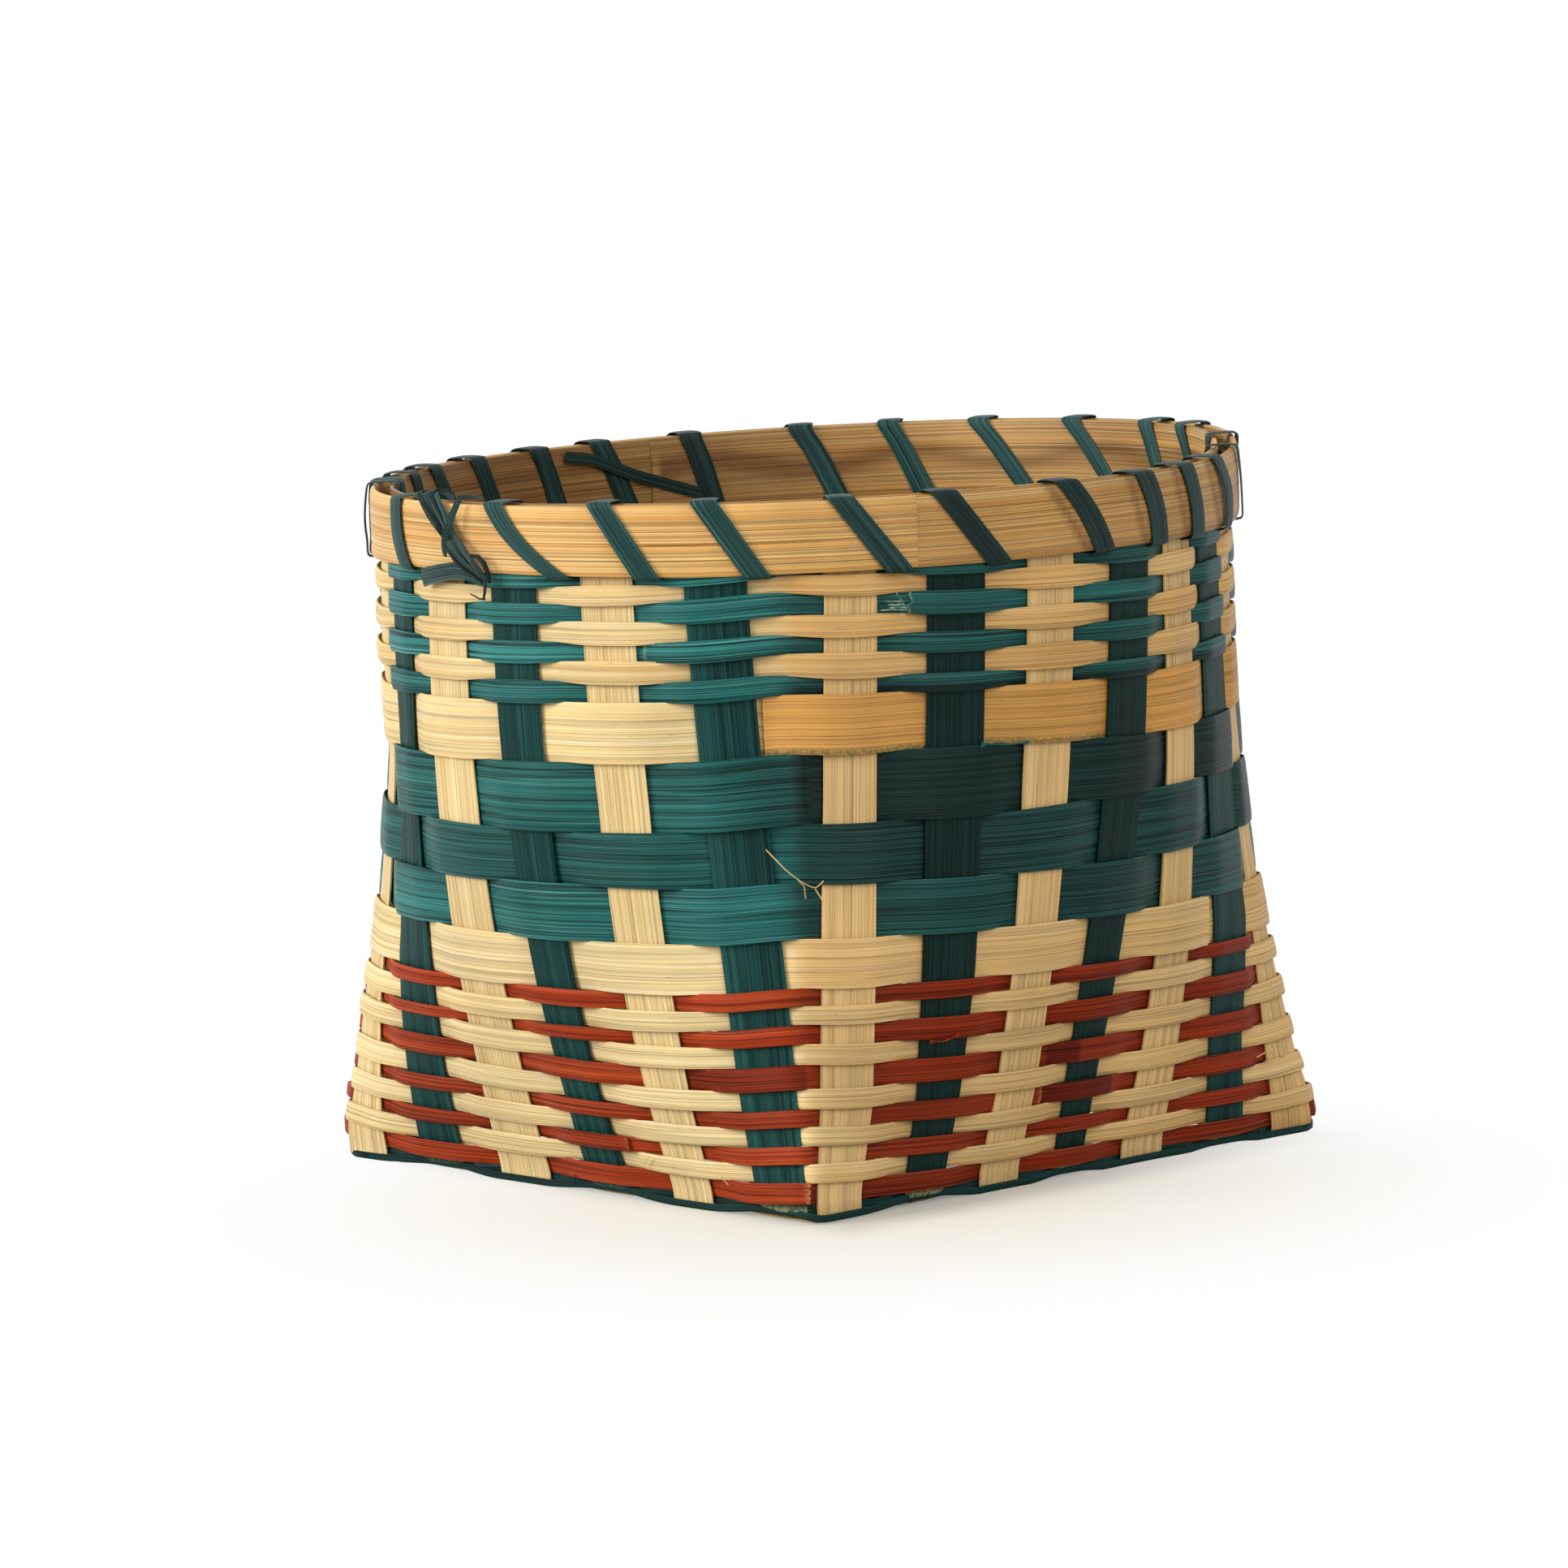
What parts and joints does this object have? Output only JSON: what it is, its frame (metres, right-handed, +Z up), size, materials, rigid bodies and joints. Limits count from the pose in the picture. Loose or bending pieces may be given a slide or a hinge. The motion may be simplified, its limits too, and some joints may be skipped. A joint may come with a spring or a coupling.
{
  "type": "bamboo basket",
  "caption": "Open basket of split bamboo: a square plaited base, woven sides that turn from square to round, and a round rim of two hoops lashed together.",
  "frame": {"origin": "middle of the underside of the square base", "axes": "+Z up; the sides of the square base lie along X and Y, and the rim is a little longer along Y"},
  "size_m": [0.2148, 0.229, 0.1774],
  "materials": {
    "straw_bamboo": "split bamboo, natural straw colour, satin",
    "green_bamboo": "split bamboo, dyed dark blue-green, satin",
    "red_bamboo": "split bamboo, dyed brick red, satin",
    "hoop_bamboo": "thicker split bamboo, golden brown, satin"
  },
  "bodies": {
    "root": {"base_twine_1": "green_bamboo", "base_twine_2": "green_bamboo", "lashing_knot": "green_bamboo", "rim_hoop_inner": "hoop_bamboo", "rim_hoop_outer": "hoop_bamboo", "rim_lashing": "green_bamboo", "stake_front_back_1_straw": "straw_bamboo", "stake_front_back_2_green": "green_bamboo", "stake_front_back_3_straw": "straw_bamboo", "stake_front_back_4_green": "green_bamboo", "stake_front_back_5_straw": "straw_bamboo", "stake_front_back_6_green": "green_bamboo", "stake_left_right_1_straw": "straw_bamboo", "stake_left_right_2_green": "green_bamboo", "stake_left_right_3_straw": "straw_bamboo", "stake_left_right_4_green": "green_bamboo", "stake_left_right_5_straw": "straw_bamboo", "stake_left_right_6_green": "green_bamboo", "stake_left_right_7_straw": "straw_bamboo", "weaver_01_red": "red_bamboo", "weaver_02_straw": "straw_bamboo", "weaver_03_red": "red_bamboo", "weaver_04_straw": "straw_bamboo", "weaver_05_red": "red_bamboo", "weaver_06_straw": "straw_bamboo", "weaver_07_red": "red_bamboo", "weaver_08_straw": "straw_bamboo", "weaver_09_red": "red_bamboo", "weaver_10_straw": "straw_bamboo", "weaver_11_red": "red_bamboo", "weaver_12_straw": "straw_bamboo", "weaver_13_green": "green_bamboo", "weaver_14_green": "green_bamboo", "weaver_15_green": "green_bamboo", "weaver_16_straw": "straw_bamboo", "weaver_17_green": "green_bamboo", "weaver_18_straw": "straw_bamboo", "weaver_19_green": "green_bamboo", "weaver_20_straw": "straw_bamboo", "weaver_21_green": "green_bamboo", "weaver_22_straw": "straw_bamboo", "weaver_23_green": "green_bamboo"}
  },
  "joints": []
}
